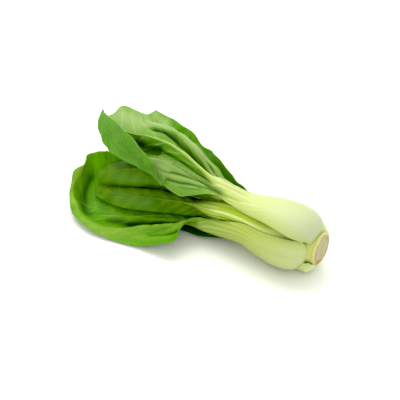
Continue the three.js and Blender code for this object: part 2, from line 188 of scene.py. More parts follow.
def new_material(name: str) -> tuple[bpy.types.Material, partial]:
    """Makes a material with an empty node tree.

    Args:
        name: The real material's name and how it was made.

    Returns:
        The material, and the helper that adds nodes to its tree.
    """
    material = bpy.data.materials.new(name)
    material.use_nodes = True
    material.node_tree.nodes.clear()
    return material, partial(add_node, material.node_tree)


# Finishes


# A Mix node's two colours are its inputs 6 and 7, and its mixed colour is its output 2
COLOR_MIX = {"data_type": "RGBA", "clamp_factor": True, "output": 2}
SKIP = (None,) * 5


@dataclass(frozen=True)
class LeafFinish:
    """Living leaf tissue under a thin wax cuticle, as grown.

    The wax gives soft highlights, and the light that enters the wet tissue gives it a glow.
    The stalk is pale and juicy, the blade is green, and its outer face is paler and duller
    than its inner one. Painted sheen, light and shade are mixed into the colours as well.
    Colours are sRGB hex.

    Attributes:
        name: The material's name.
        bulb: Thick end of the stalk.
        stalk: Middle of the stalk.
        edge: Thin sides and threads of the stalk, and painted shade in its furrows and creases.
        neck: Where the stalk turns into the blade.
        rib: Midrib of the blade.
        inner: Darker and lighter blotches of the blade's inner face.
        outer: The same of its outer face.
        bloom_and_sheen: Pale waxy tissue and pale veins, and painted sheen and painted light.
        painted_shade: Painted shade in furrows, hollows and gaps, and between the veins near the neck.
        vein: Side veins and the leaf's thin margin.
        outer_gloss: Roughness of the outer face.
        lines: How clearly the side veins show on the inner and the outer face.
    """

    name: str
    bulb: str = "c8cfa1"
    stalk: str = "bfcb7d"
    edge: str = "aabd51"
    neck: str = "bdcb85"
    rib: str = "a1b971"
    inner: tuple[str, str] = ("2c5a00", "3e6f00")
    outer: tuple[str, str] = ("5b8524", "72973d")
    bloom_and_sheen: str = "85a863"
    painted_shade: str = "1d3e00"
    vein: str = "9ab671"
    outer_gloss: float = 0.5
    lines: tuple[float, float] = (0.25, 0.6)

    # The same for all: share of light that scatters inside, strength of the wax's shine,
    # roughness of the blade's inner face and of the stalk
    GLOW = 0.2
    SHINE = 0.12
    INNER_GLOSS = 0.42
    STALK_GLOSS = 0.36
    # Real sizes in millimetres: meshes of the finest veins, blotches, threads of the stalk
    NET_MM = 2.2
    BLOTCH_MM = 13.0
    THREAD_MM = 1.1
    # Distances from the cut face over which the stalk's colours turn into the next ones, and
    # over which the painted shade between the veins fades
    STALK_FROM_MM = (8.0, 52.0)
    NECK_FROM_MM = (52.0, 82.0)
    RIB_FROM_MM = (84.0, 120.0)
    SHADE_MM = (84.0, 140.0)

    def material(self) -> bpy.types.Material:
        """Builds the material.

        Returns:
            The material, which reads the attributes leaf_place, leaf_tone and leaf_form.
        """
        material, node = new_material(self.name)
        read = []
        for name in ("leaf_place", "leaf_tone", "leaf_form"):
            split = node("Attribute", attribute_name=name, output="Vector")
            read += [node("SeparateXYZ", split, output=k) for k in range(3)]
        along, across, phase, pale, outer, share, tint_and_painted_light, show, stalk_share = read
        flat = node("CombineXYZ", along, across, outer)
        # Negative tint, which paints shade
        painted_dark = node("Math", tint_and_painted_light, -1, operation="MULTIPLY")

        # Blade: blotches, then pale veins with painted sheen and light, then painted shade in
        # furrows, hollows, gaps and between the veins, then veins and the margin. The plain numbers
        # are strengths, shares and soft limits.
        blotch = node("TexNoise", flat, Scale=1 / self.BLOTCH_MM, Detail=5.0, Roughness=0.62)
        blotch = node("MapRange", blotch, 0.36, 0.64)
        net = node("TexVoronoi", flat, feature="DISTANCE_TO_EDGE", Scale=1 / self.NET_MM)
        net = node("MapRange", net, 0, 0.16, 1, 0)
        wave = node("Math", phase, 0.5, operation="PINGPONG")
        line = node("MapRange", wave, 0.01, 0.07, 1, 0)
        clear = node("MapRange", outer, 0, 1, *self.lines)
        fade = node("MapRange", share, 0.3, 1, 1, 0.2)
        # Painted shade between the side veins, strongest near the neck
        between = node("MapRange", wave, 0.12, 0.45)
        near_neck = node("MapRange", along, *self.SHADE_MM, 0.45, 0.1)
        faint = node("MapRange", painted_dark, 0, 0.5, 0.1, 0)
        margin = node("MapRange", share, 0.962, 0.995)
        rim = node("MapRange", outer, 0, 1, 0.1, 0.5)
        marks = []
        for mark, *factors in ((between, near_neck, show), (net, faint),
                               (line, clear, fade, show), (margin, rim)):
            for factor in factors:
                mark = node("Math", mark, factor, operation="MULTIPLY")
            marks.append(mark)
        faces = [node("Mix", blotch, *SKIP, *pair, **COLOR_MIX) for pair in (self.inner, self.outer)]
        blade = node("Mix", outer, *SKIP, *faces, **COLOR_MIX)
        # The tint mixes in the pale colour for pale veins and painted sheen and light, and the dark
        # colour for painted shade; between the veins near the neck is painted shade too
        for strength, color in zip((tint_and_painted_light, painted_dark, *marks), (self.bloom_and_sheen, self.painted_shade, self.painted_shade,
                                                          self.vein, self.vein, self.vein)):
            blade = node("Mix", strength, *SKIP, blade, color, **COLOR_MIX)

        # Stalk: cream at the bulb, yellow green on the way up and at its thin sides, paler where the
        # tint is above 0, and painted shade in the edge colour where it is below 0
        threads = node("VectorMath", flat, (0.03, 1, 1), operation="MULTIPLY")
        threads = node("TexNoise", threads, Scale=1 / self.THREAD_MM, Detail=3.0)
        streak = node("MapRange", threads, 0.46, 0.72, 0, 0.22)
        side = node("MapRange", stalk_share, 0.55, 1, 0, 0.6)
        up_stalk, up_neck, up_rib = (
            node("MapRange", along, *reach)
            for reach in (self.STALK_FROM_MM, self.NECK_FROM_MM, self.RIB_FROM_MM))
        stalk = self.bulb
        for strength, color in ((up_stalk, self.stalk), (up_neck, self.neck), (side, self.edge),
                                (streak, self.edge), (tint_and_painted_light, self.bulb), (painted_dark, self.edge),
                                (up_rib, self.rib)):
            stalk = node("Mix", strength, *SKIP, stalk, color, **COLOR_MIX)
        color = node("Mix", pale, *SKIP, blade, stalk, **COLOR_MIX)

        # Gloss, and relief: sunken fine veins on the blade, threads on the stalk
        gloss = node("MapRange", outer, 0, 1, self.INNER_GLOSS, self.outer_gloss)
        gloss = node("Mix", pale, None, gloss, self.STALK_GLOSS)
        on_blade = node("Math", 1, pale, operation="SUBTRACT")
        normal = None
        for relief, where, depth in ((net, on_blade, 0.12), (threads, pale, 0.3)):
            relief = node("Math", relief, where, operation="MULTIPLY")
            normal = node("Bump", Strength=0.5, Distance=depth * MM, Height=relief, Normal=normal)
        surface = node("BsdfPrincipled", color, IOR=1.42, Roughness=gloss, Normal=normal,
                       **{"Specular IOR Level": self.SHINE, "Subsurface Weight": self.GLOW,
                          "Subsurface Radius": (1, 1, 0.3), "Subsurface Scale": 1.6 * MM})
        node("OutputMaterial", surface)
        return material


@dataclass(frozen=True)
class CutStemFinish:
    """Fibrous stem flesh, sliced across with a knife and a little dried.

    The dried cut gives a matt tan face with a thin cream rim, browned fibre ends in rings and
    a few rusty spots, and the side of the stem stays yellow green.
    """

    name: str = "stem flesh, knife cut"
    heart: str = "a59a76"
    flesh: str = "aea579"
    rim: str = "c4c089"
    skin: str = "b6b966"
    fibre: str = "938453"
    rust: str = "977639"

    # Radius of the face and wander of its rings, in millimetres, and where its stain lies, in
    # radians round the face
    FACE_MM = 12.0
    WANDER_MM = 1.4
    STAIN_TURN = 3.6
    # Real sizes in millimetres: rusty patches, fibre ends, fine grain
    PATCH_MM = 3.125
    FIBRE_MM = 2.381
    GRAIN_MM = 0.7143

    def material(self) -> bpy.types.Material:
        """Builds the material.

        Returns:
            The material, which reads the attribute cut_place of the stem end.
        """
        material, node = new_material(self.name)
        place = node("Attribute", attribute_name="cut_place", output="Vector")
        radius, depth, turn = (node("SeparateXYZ", place, output=k) for k in range(3))
        where = node("TexCoord", output="Object")
        patch = node("TexNoise", where, Scale=1 / (self.PATCH_MM * MM), Detail=5.0)
        wander = node("MapRange", patch, 0, 1, -self.WANDER_MM, self.WANDER_MM)
        radius = node("Math", radius, wander, operation="ADD")
        radius = node("Math", radius, self.FACE_MM, operation="DIVIDE")
        stain = node("Math", turn, self.STAIN_TURN, operation="SUBTRACT")
        stain = node("Math", stain, operation="ABSOLUTE")
        stain = node("MapRange", stain, 0.2, 0.6, 0.85, 0)
        reach = node("MapRange", radius, 0.6, 0.8)
        stain = node("Math", stain, reach, operation="MULTIPLY")
        spots = node("TexVoronoi", where, Scale=1 / (self.FIBRE_MM * MM))
        color = self.heart
        for source, start, end, low, high, tone in (
                (radius, 0, 0.5, 0, 1, self.flesh), (radius, 0.66, 0.74, 0, 0.6, self.fibre),
                (radius, 0.78, 0.84, 0, 1, self.flesh), (radius, 0.9, 0.95, 0, 1, self.rim),
                (stain, 0, 1, 0, 1, self.rust), (spots, 0.12, 0.3, 0.55, 0, self.fibre),
                (patch, 0.56, 0.7, 0, 0.7, self.rust), (depth, 0.35, 1.4, 0, 1, self.skin)):
            strength = node("MapRange", source, start, end, low, high)
            color = node("Mix", strength, *SKIP, color, tone, **COLOR_MIX)
        grain = node("TexNoise", where, Scale=1 / (self.GRAIN_MM * MM), Detail=3.0)
        normal = node("Bump", Strength=0.5, Distance=0.4 * MM, Height=grain)
        surface = node("BsdfPrincipled", color, IOR=1.4, Roughness=0.62, Normal=normal,
                       **{"Subsurface Weight": 0.2, "Subsurface Radius": (1, 0.8, 0.4),
                          "Subsurface Scale": 1.5 * MM})
        node("OutputMaterial", surface)
        return material


@dataclass(frozen=True)
class BoardFinish:
    """Matt white painted board, which gives a plain pale floor with soft shadows."""

    name: str = "board, matt white paint"
    paint: str = "eaebe3"
    GRAIN_MM = 1.111

    def material(self) -> bpy.types.Material:
        """Builds the material."""
        material, node = new_material(self.name)
        where = node("TexCoord", output="Object")
        grain = node("TexNoise", where, Scale=1 / (self.GRAIN_MM * MM))
        normal = node("Bump", Strength=0.05, Distance=0.1 * MM, Height=grain)
        surface = node("BsdfPrincipled", self.paint, Roughness=0.85, Normal=normal)
        node("OutputMaterial", surface)
        return material


# Leaves

# Height of the head's middle line by the distance from the cut face
MIDDLE_LINE = numbers("3 22.6, 4.4 22.6, 6.5 22.8, 10 23, 16 23.2, 27 23.3, 40 23.5, 55 23.4, 72 24", 2)
# In millimetres: from the stations' line out to the stalk's hollow face, thickness of the
# stalk at its sides, and length of a fold's bend
STALK_OFFSET = 0.85
STALK_EDGE = 1.2
FOLD_ARC = 7.0

# Columns of a leaf's stations, where each half has four, and how many columns there are
X, FACING, LEFT, RIGHT, RIB, THICK, COLUMNS = 0, 3, 4, 8, 12, 13, 14

# Stalk bases: distance from the cut face, radius of the outer face round the middle line,
# half-width and curl of the left and of the right half, thickness. Each laps over its
# neighbour or lies under it, and the front one ends in a blunt shoulder further from the cut
# face. The under one shows past the others as a wide low corner.
TOP_BASE = """
3 12.5, 9.6 52, 9.2 52, 0.7
4.4 14.3, 11.6 48, 11 48, 1.9
6.5 17.8, 14.2 40, 12.8 40, 3.9
10 21, 16.4 30, 15 30, 5.9
16 23.2, 18.4 24, 17.2 24, 7
27 23.9, 18.1 17, 17.9 17, 7
40 22.4, 14.9 16, 16.5 16, 6.7
55 19.6, 11.2 18, 13.2 18, 6"""
FRONT_BASE = """
6.6 12, 5.6 36, 7.4 20, 0.8
7.4 14.6, 7.6 31.68, 10.2 17.6, 2.2
8.8 17.4, 9.6 25.92, 11.8 14.4, 4.2
11.4 20.3, 12.4 20.88, 13 11.6, 6.2
16 23.2, 15.6 17.28, 13.2 9.6, 7
27 23.9, 17.9 12.24, 12.2 6.8, 7
40 22.4, 16.5 11.52, 9.6 6.4, 6.7
55 19.6, 13.2 12.96, 8 7.2, 6"""
REAR_BASE = """
3 12.5, 5 52, 9.2 52, 0.7
4.4 14.3, 5.8 48, 11 48, 1.9
6.5 17.8, 6.2 40, 12.8 40, 3.9
10 21, 7.6 30, 15 30, 5.9
16 23.2, 11.2 24, 17.2 24, 7
27 23.9, 12.9 17, 17.9 17, 7
40 22.4, 12.1 16, 16.5 16, 6.7
55 19.6, 10 18, 13.2 18, 6"""
UNDER_BASE = """
2.2 16.2, 5 56, 13.6 56, 4.6
3.8 18.8, 6 56, 15.6 56, 7
6.2 20.8, 6.6 52, 16.2 52, 9
9 21.4, 7.4 44, 15 44, 8.8
12 21.9, 9 34, 14 34, 8
16 23.2, 11.2 24, 12.2 24, 7
27 23.9, 12.9 17, 12.9 17, 7
40 22.4, 12.1 16, 12.1 16, 6.7"""
INNER_TOP_BASE = """
13 10.35, 3.5 46, 4 46, 2.8
19 14.45, 4.62 46, 5.28 46, 3.6
27 16.85, 5.6 46, 6.4 46, 4
40 16.05, 5.46 46, 6.24 46, 3.8
55 13.85, 4.9 44, 5.6 44, 3.4"""
INNER_REAR_BASE = """
13 11.55, 4 46, 4.25 46, 2.8
19 15.65, 5.28 46, 5.61 46, 3.6
27 18.05, 6.4 46, 6.8 46, 4
40 17.25, 6.24 46, 6.63 46, 3.8
55 15.05, 5.6 44, 5.95 44, 3.4"""
HEART_BASE = """
22 7.05, 3 40, 3 40, 2
30 7.85, 4 40, 4 40, 2.4
42 7.85, 4.4 40, 4.4 40, 2.4
55 7.25, 4.2 40, 4.2 40, 2.2"""
# Stations past the base, or all of a leaf without one: x, y, z and facing, then for the left
# and for the right half its half-width, lift, curl and sweep, then midrib and thickness
TOP_STATIONS = """
-70 0.5 37.4 -3, 8.8 0 22 0, 11 0 24 0, 8.2 5.2
-84 1 40.6 0, 9.8 0 22 0, 11 0 20 0, 5.6 4.4
-97 1.5 47.4 2, 24.2 12 44 0, 15.2 -2 30 0, 4.6 3.7
-105 1.8 51.2 2, 26.6 18 50 0, 17.4 -8 46 0, 4.3 3.3
-114 2 55.8 2, 28 26 48 0, 21.4 -10 58 0, 4.1 2.9
-119 2.1 57.4 2, 33.5 28 46 0, 23.6 -11 60 0, 3.8 2.7
-129 2.2 60 2, 37.8 32 42 0, 27 -12 64 0, 3.2 2.3
-145 1 60.8 2, 43.5 34 38 0, 31 -14 66 0.1, 2.5 1.8
-161 0 58.6 2, 45.5 36 30 0, 35 -14 58 0.2, 2 1.4
-176 3 57.4 2, 37.8 36 22 0.05, 33 -12 42 0.3, 1.7 1.2
-187 7 56.2 0, 24 34 14 0.2, 27 -10 28 0.4, 1.4 1
-190.6 8.4 55.9 0, 19 30 8 0.3, 20 -8 16 0.66, 1.2 0.9
-192 9 55.8 0, 17 30 8 0.3, 11 -8 14 0.5, 1.2 0.9
-195 10.5 55.6 0, 10 30 8 0.3, 2.5 -8 10 0.3, 1.2 0.9"""
FRONT_STATIONS = """
-72 -11.5 17 100, 8.4 0 24 0, 6.2 0 20 0, 9.2 5.2
-87 -12 14.6 116, 8.4 0 24 0, 6.8 0 20 0, 7.6 4.6
-101 -13 11.6 144, 10 8 20 0, 17 -16 4 -0.2, 5 3.6
-115 -16 8.6 168, 22 10 26 0, 30 -7 2 -0.48, 4.2 3
-131 -20 5.2 178, 35 12 36 0, 30.5 -6 2 -0.15, 3.2 2.3
-148 -25.5 3.6 180, 42 12 48 0, 28 -5 2 0, 2.6 1.8
-164 -30 3.2 180, 46 12 54 0.1, 25 -3 4 0, 2.1 1.5
-178 -32 4 180, 46 14 50 0.22, 19 0 10 0, 1.8 1.2
-188 -31.6 5.2 180, 41 14 46 0.3, 13.4 0 10 -0.2, 1.5 1
-194 -31 6.2 180, 35.5 14 43 0.38, 8.2 2 14 -0.2, 1.3 0.9
-197.4 -30.6 7.2 180, 29 14 40 0.5, 4.4 4 14 -0.1, 1.2 0.9
-199 -30.2 8 180, 21.5 14 36 0.6, 2.4 4 10 0, 1.2 0.9
-199.8 -29.9 8.6 180, 15 14 32 0.85, 1.4 4 10 0, 1.2 0.9
-200.3 -29.8 9 180, 9.5 14 28 0.95, 0.8 4 10 0, 1.2 0.9
-200.8 -29.7 9.3 180, 3 14 20 0.5, 0.5 4 10 0, 1.2 0.9"""
REAR_STATIONS = """
-70 11.4 24 264, 15.5 0 12 0, 9.2 0 12 0, 9.2 5.2
-85 13.5 23 255, 19.7 0 8 0, 10 0 18 0, 7.6 4.4
-100 17 21.5 248, 24.6 0 4 0, 15 0 14 0, 5.4 3.6
-115 21 20.5 242, 26.2 0 4 0, 18 0 10 0, 4 2.8
-130 26 21 238, 24.8 0 4 0, 20 0 8 0, 3.1 2.1
-146 33 22 237, 27 0 4 0, 20 0 8 0, 2.4 1.7
-161 41 26 237, 23 0 4 0, 17 0 8 0, 2 1.4
-174 49 33 238, 16 2 0 0, 12 0 8 0, 1.6 1.1
-184.5 56 41.5 238, 4.4 2 0 0, 4 0 8 0, 1.2 0.9"""
UNDER_STATIONS = """
-55 -0.5 10 181, 9.6 0 18 0, 9.6 0 14 0, 9.2 5.6
-68 1.5 7.4 180, 12 0 8 0, 12.8 0 4 0, 7.6 4.8
-82 4.5 5.2 180, 18 -2 4 0, 19.5 -3 2 0, 6 3.8
-98 8 4.1 180, 24 -3 4 0, 24 -4 2 0, 4.4 3
-114 11 3.4 180, 27 -3 4 0, 27 -4 2 0, 3.4 2.3
-130 13.5 2.9 180, 25 -3 4 0, 23 -3 2 0, 2.6 1.8
-145 15.5 2.5 180, 18 -2 4 0, 16 -2 2 0, 2 1.4
-157 17 2.2 180, 5 -1 2 0, 5 -1 2 0, 1.4 1"""
INNER_FRONT_STATIONS = """
-14 -7.5 27.5 60, 5 0 46 0, 4.4 0 40 0, 5 2.8
-20 -10.2 29.2 68, 6 0 40 0, 5.4 0 36 0, 6 3.6
-28 -11 30 74, 6.5 0 34 0, 6 0 30 0, 6.5 4
-40 -10.2 29.8 74, 6.6 0 34 0, 5.6 0 30 0, 6.6 3.8
-55 -8.4 29.8 70, 6.4 0 40 0, 7.6 0 40 0, 6.8 3.6
-72 -7.4 28.2 64, 6.2 0 44 0, 9 0 44 0, 6.8 3.2
-89 -7.2 24.8 58, 6.6 0 26 0, 7 0 36 0, 5 2.8
-105 -7.6 22.6 57, 9 0 16 0, 7 4 40 0, 3.6 2.3
-122 -10.5 20.6 56, 9.6 -2 10 0, 9.5 6 52 0, 2.8 1.8
-139 -14 18.4 52, 10.2 -4 6 0, 10.5 6 56 0, 2.2 1.4
-155 -17 15.8 50, 10.2 -6 4 0, 10.5 6 54 0, 1.8 1.1
-170 -19.5 13.2 50, 7.6 -6 2 0, 9.5 4 46 0, 1.4 0.9
-178 -20.6 12 50, 4.6 -4 0 0, 8 2 30 0, 1.1 0.8
-182 -21.2 11.6 50, 2.5 -4 0 0, 5 2 10 0, 1.1 0.8"""
INNER_TOP_STATIONS = """
-72 4 31 -14, 4.6 0 36 0, 5 0 36 0, 6 2.8
-89 2 33.4 0, 6 0 36 0, 6.4 0 36 0, 5 2.6
-106 1 36.2 10, 9.5 8 34 0, 10 4 36 0, 3.6 2.1
-123 -1.5 38.4 22, 13 14 44 0, 14 4 40 0, 2.8 1.7
-140 -4.5 37.4 28, 14.5 16 50 0, 12.4 4 40 0, 2.2 1.3
-156 -8 33.6 30, 14 14 46 0, 10.6 4 36 0, 1.8 1.1
-171 -11.5 28.4 30, 12 12 36 0, 8.4 2 30 0, 1.4 0.9
-180 -14 24 30, 8 8 20 0, 5.4 2 20 0, 1.1 0.8
-183.5 -15 22.4 30, 4 8 10 0, 2.6 2 20 0, 1.1 0.8"""
INNER_REAR_STATIONS = """
-72 3.6 16 226, 5 0 36 0, 5.4 0 36 0, 6.4 2.8
-89 6 16.2 230, 5.6 0 34 0, 5.6 0 30 0, 5 2.4
-105 10.5 16.5 236, 10 2 30 0, 7 0 24 0, 3.6 2.1
-120 14 18 240, 13 4 26 0, 8.5 0 20 0, 2.8 1.6
-135 18 20 240, 13.5 4 24 0, 9 0 20 0, 2.2 1.3
-150 23 23 240, 11 4 20 0, 8 0 18 0, 1.7 1.1
-163 28.5 27 240, 3 2 10 0, 3 0 10 0, 1.2 0.8"""
HEART_UPPER_STATIONS = """
-72 0 25.6 10, 4 0 36 0, 4 0 36 0, 4 2
-88 1 26.6 10, 5 0 36 0, 5 0 36 0, 3.2 1.7
-104 2.5 27.6 5, 7 4 40 0, 7 4 40 0, 2.4 1.4
-120 4.5 28.6 0, 8 6 40 0, 8 6 40 0, 1.8 1.1
-136 7 30 0, 3 4 20 0, 3 4 20 0, 1.2 0.8"""
HEART_LOWER_STATIONS = """
-72 -0.5 19.6 190, 4 0 36 0, 4 0 36 0, 4 2
-86 0 19.4 195, 4.6 0 36 0, 4.6 0 36 0, 3.2 1.6
-99 1.5 20 200, 6 4 40 0, 6 4 40 0, 2.2 1.3
-112 3.5 21.4 205, 6 6 40 0, 6 6 40 0, 1.7 1
-124 5.5 23.2 205, 2.5 4 20 0, 2.5 4 20 0, 1.1 0.8"""
# Where the top leaf's left half folds over: distance from the cut face, share of the width,
# degrees
TOP_FOLDS = """
110 0.98 0, 114 0.87 120, 119 0.73 155, 129 0.603 165, 145 0.493 168, 161 0.391 172,
176 0.349 172, 187 0.27 172, 192 0.18 168, 195 0.1 165"""
# Creases: height, width and tint, then after the colon the line, as distances from the cut
# face and from the midrib. A tint above 0 gives pale veins and painted sheen and light, one
# below 0 gives painted shade in furrows, hollows and gaps
# The top leaf's creases: pale lines on its ridges, painted shade in its furrows and valleys and in the
# hollow beside the fold, painted sheen strips, and a patch of painted light on its far half, which
# faces up
TOP_CREASES = """
1.8 1.3 1: 60 -1.9, 78 -2, 90 -3, 98 -4.8, 103 -6.3, 108 -7.2, 114 -8.2, 120 -9.4, 129 -12.8,
    135 -17, 143 -22, 152 -26;
-2.8 2.2 -1.2: 90 -1.6, 100 -3, 110 -4.2, 116 -5, 122 -5.8, 131 -8.2, 138 -10.8, 145 -10, 150 -6;
-0.4 3.4 -0.9: 128 -8, 136 -11, 144 -12, 151 -10;
-0.8 0.9 -1: 58 -3.2, 78 -3.4, 88 -4.6, 97 -7.4, 104 -8.4;
0.5 1.2 0.7: 56 -4.6, 76 -4.9, 88 -6, 97 -9.4, 106 -10.6, 116 -10.6, 126 -13, 136 -20;
-0.8 0.9 -1.1: 58 -6.2, 76 -6.4, 90 -7.8, 97 -11, 105 -14.4, 114 -18.4, 122 -22, 132 -25.4, 142 -28;
0.3 2.2 0.8: 100 -8.6, 108 -11, 116 -14, 124 -17.4, 132 -21;
-1.3 1.1 -1: 56 1.6, 76 1.9, 89 2.8, 97.5 3.8, 105 4.8, 113 5.6, 121 6.4, 129 7, 138 6;
1.3 2.2 0.9: 56 3, 76 3, 88 4.6, 96 6.4, 104 7.9, 113 9.8, 121 11.6, 131 13, 140 14;
-1.1 0.9 -1: 58 4.4, 76 4.2, 88 6, 95.4 8.4, 102 10.6, 110 14.4, 119 18.4, 129 20.5;
0.9 1.5 0.6: 88 7.6, 95 10.4, 102 13, 109 17, 117 21;
-1.1 0.9 -1: 58 6.4, 78 6, 87 7.4, 93 11, 99 14, 106 18.6, 119 25;
0.6 1.2 0.4: 92 12.4, 97 15.4, 104 19.6, 110 23;
-0.4 0.8 -0.6: 90 11.6, 95 15.4, 104 20.5;
-3.5 4.2 -1.6: 132 7.5, 140 8.6, 149 8.2, 158 5;
0.3 0.5 1.5: 150 7.4, 142 4.9, 134 2.4;
0.3 3 0.8: 139 14.5, 131 16.5, 122 17, 115 17;
0.3 0.6 3.2: 74 -1.9, 90 -3, 98 -4.8, 103 -6.3, 108 -7.2, 114 -8.2, 120 -9.4, 129 -12.8, 135 -17,
    143 -22, 152 -26;
0.35 0.55 3: 76 -4.9, 88 -6, 97 -9.4, 106 -11.6, 116 -14.6, 126 -18.4, 134 -23;
0.35 0.55 2.6: 84 -6.6, 92 -9.4, 99 -13.2, 107 -17.6, 116 -21.6, 124 -25;
0 14 1: 146 -22, 158 -16, 176 -13, 194 -8;
0 3 0.6: 110 -11, 120 -14, 132 -22;"""
# The front leaf's creases: pale veins and a paler band on its near half, painted shade along the midrib
# under the inner leaf's margin and at the foot of the curled tip, and painted light on the curled-up
# tip
FRONT_CREASES = """
-2 3.8 0.6: 95 -4, 102 -7, 110 -9.8, 119 -10, 129 -10.4, 136 -12, 148 -16.8, 164 -18, 176 -12;
0.8 2.6 -0.7: 112 -3.5, 129 -4, 148 -6, 164 -8;
-0.3 0.7 1.6: 112 5, 119 4.6, 132 3, 144 0.5, 160 -2.4, 170 -6;
0 5 0.7: 118 -22, 132 -20, 148 -20, 160 -20;
1.6 3.6 -0.85: 172 -10, 180 -5, 187 1.5, 190 8, 190 16, 189 26;
-2.4 3.4 0.9: 184 -10, 194 -4, 199 3, 200 14, 200 26, 197 38;
-0.8 1 1.8: 95 -4, 102 -7, 110 -9.8, 119 -10, 129 -10.4, 136 -12, 148 -16.8, 158 -19;
0.6 2.6 -1.5: 96 -1, 104 -3.4, 112 -5.6, 124 -6, 138 -7.4, 150 -11;
0.8 2 -1: 108 -14, 114 -17, 122 -19, 132 -18;
-1.6 4 0.6: 150 -27, 170 -20, 184 -9, 194 -4;"""
# The rear leaf's tip is paler: painted light shining through it
REAR_CREASES = """
0 6 1: 172 9, 177 6, 182 1;"""
# The inner front leaf's creases: a pale ridge along its stalk with painted shade on its flanks, painted
# shade in the gap along one margin, and a patch of painted sheen towards its tip
INNER_FRONT_CREASES = """
0.8 1.3 0.9: 22 0.4, 55 0.6, 88 0.2;
-0.5 1.2 -0.9: 30 3.4, 55 3.2, 80 3;
-0.5 1.2 -0.8: 30 -3, 55 -2.6, 80 -2.4;
-1.5 3.2 -1.2: 92 -5, 106 -7, 122 -9.5, 140 -10.5, 158 -10.5, 174 -9.5, 182 -6;
0 4.5 0.8: 134 4, 150 3, 166 1;"""
# The inner top leaf's creases: painted shade along the gap at one margin, a patch of painted sheen
# towards its tip, and the painted shadow under the top leaf's fold
INNER_TOP_CREASES = """
-1 2.4 -0.8: 100 9, 123 12.5, 140 14, 158 13.5, 172 11.5, 181 7;
0 5 0.8: 148 10, 160 7, 172 3;
0 4.5 -1: 116 1, 130 -2, 146 -4;"""


def outward(facing: np.ndarray) -> np.ndarray:
    """Unit vectors square to the head's length: 0 is up, 90 is towards -Y, 180 is down."""
    turn = np.radians(facing)
    return np.stack([np.zeros_like(turn), -np.sin(turn), np.cos(turn)], axis=-1)


def closed_piece(name: str, nodes: tuple[str, ...], material: bpy.types.Material,
                 points: np.ndarray, faces: list, reads: dict[str, np.ndarray]) -> bpy.types.Object:
    """Makes a closed mesh, dresses it and joins it to the frame.

    Args:
        name: The piece's name.
        nodes: The solids that it replaces.
        material: Its finish.
        points: Its points in the head's own frame.
        faces: The numbers of each face's points.
        reads: What the finish reads at each point, by the attribute's name.

    Returns:
        The piece.
    """
    mesh = bpy.data.meshes.new(name)
    mesh.from_pydata(((points + ORIGIN) * MM).tolist(), [], faces)
    mesh.shade_smooth()
    for label, values in reads.items():
        attribute = mesh.attributes.new(label, "FLOAT_VECTOR", "POINT")
        attribute.data.foreach_set("vector", values.astype(np.float32).ravel())
    mesh.materials.append(material)
    piece = bpy.data.objects.new(name, mesh)
    bpy.context.scene.collection.objects.link(piece)
    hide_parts(*nodes)
    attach(piece, "root")
    LOG.info("%s: %d faces", name, len(faces))
    return piece


@dataclass(frozen=True)
class VeinFan:
    """The side veins of one half of a blade.

    Attributes:
        starts: Distances from the cut face at which they leave the midrib.
        slopes: How far each runs towards the tip for each millimetre outwards.
        ridge: How far they stand out, in millimetres.
        pleat: How far the blade between them bulges, in millimetres.
        show: How clearly they show as pale lines.
    """

    starts: tuple[float, ...]
    slopes: tuple[float, ...]
    ridge: float = 0.35
    pleat: float = 0.5
    show: float = 1.0

    def phase(self, along: np.ndarray, out: np.ndarray) -> np.ndarray:
        """Counts veins: each lies where the phase is a whole number.

        Args:
            along: Distances from the cut face, in millimetres.
            out: Distances from the midrib.

        Returns:
            The phase at each point.
        """
        halvings = 24
        steps = np.arange(-1, len(self.starts) + 1, dtype=float)
        starts = np.array([2 * self.starts[0] - self.starts[1], *self.starts,
                           2 * self.starts[-1] - self.starts[-2]], float)
        slopes = np.array([self.slopes[0], *self.slopes, self.slopes[-1]])
        low, high = np.full_like(along, steps[0]), np.full_like(along, steps[-1])
        for _ in range(halvings):
            middle = (low + high) / 2
            there = np.interp(middle, steps, starts) + np.interp(middle, steps, slopes) * out
            past = there > along
            high = np.where(past, middle, high)
            low = np.where(past, low, middle)
        return (low + high) / 2


@dataclass(frozen=True)
class Crease:
    """A ridge or furrow of the whole sheet along a given line, or a patch of colour. Its
    tint gives pale veins, painted sheen and painted light above 0, and painted shade below 0.

    Attributes:
        height: How far the sheet moves outwards, in millimetres; below 0 it is a furrow.
        width: How far to each side it fades, in millimetres.
        tint_and_painted_light: Above 0 it is paler along it, as pale veins and as painted sheen and
            light; below 0 it is painted shade, a darker green.
        line: Places on the leaf, each (along, across); the left half is above 0.
    """

    height: float
    width: float
    tint_and_painted_light: float
    line: np.ndarray

    STEP_MM = 1.5

    @classmethod
    def read(cls, table: str) -> list["Crease"]:
        """Reads creases from a table."""
        rows = (row.split(":") for row in table.split(";")[:-1])
        return [cls(*numbers(sizes, 3)[0], numbers(line, 2)) for sizes, line in rows]

    def strength(self, along: np.ndarray, across: np.ndarray) -> np.ndarray:
        """How strongly it acts at places on the leaf, from 0 to 1."""
        reach = walked(self.line)
        walk = np.linspace(0, reach[-1], max(12, int(reach[-1] / self.STEP_MM)))
        way = walk / reach[-1]
        taper = smoothstep(way, 0, 0.12) * (1 - smoothstep(way, 0.85, 1))
        best = np.zeros_like(across)
        for (x, y), share in zip(spline(reach, self.line, walk), taper):
            gap = (along - x) ** 2 + (across - y) ** 2
            best = np.maximum(best, share * np.exp(-gap / self.width ** 2))
        return best


